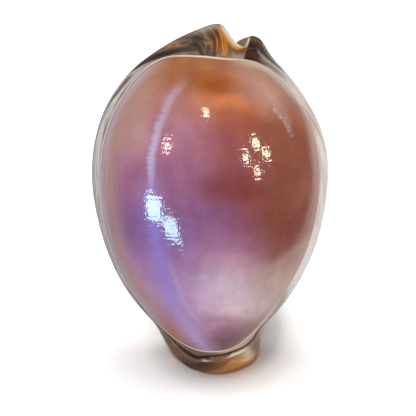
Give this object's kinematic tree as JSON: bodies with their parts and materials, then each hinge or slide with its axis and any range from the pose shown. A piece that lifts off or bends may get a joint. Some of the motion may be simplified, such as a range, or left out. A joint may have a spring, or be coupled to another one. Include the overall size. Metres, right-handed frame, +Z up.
{
  "type": "cowrie shell",
  "caption": "Polished cowrie shell standing on its narrow end: egg-shaped glossy back, rolled margins, flared lobes at the canals and a toothed slot along the flat base.",
  "frame": {"origin": "centre of the bounding box at ground level, under the shell standing on its narrow end", "axes": "+Z up along the shell's length towards its broad end, -Y the polished back that faces the viewer, +Y the slotted base, +X the side with the spire scar"},
  "size_m": [0.0554, 0.0494, 0.0772],
  "materials": {
    "shell": "high natural polish, violet and brown banded back, streaked cream and dark margins"
  },
  "bodies": {
    "root": {"shell": "shell"}
  },
  "joints": []
}
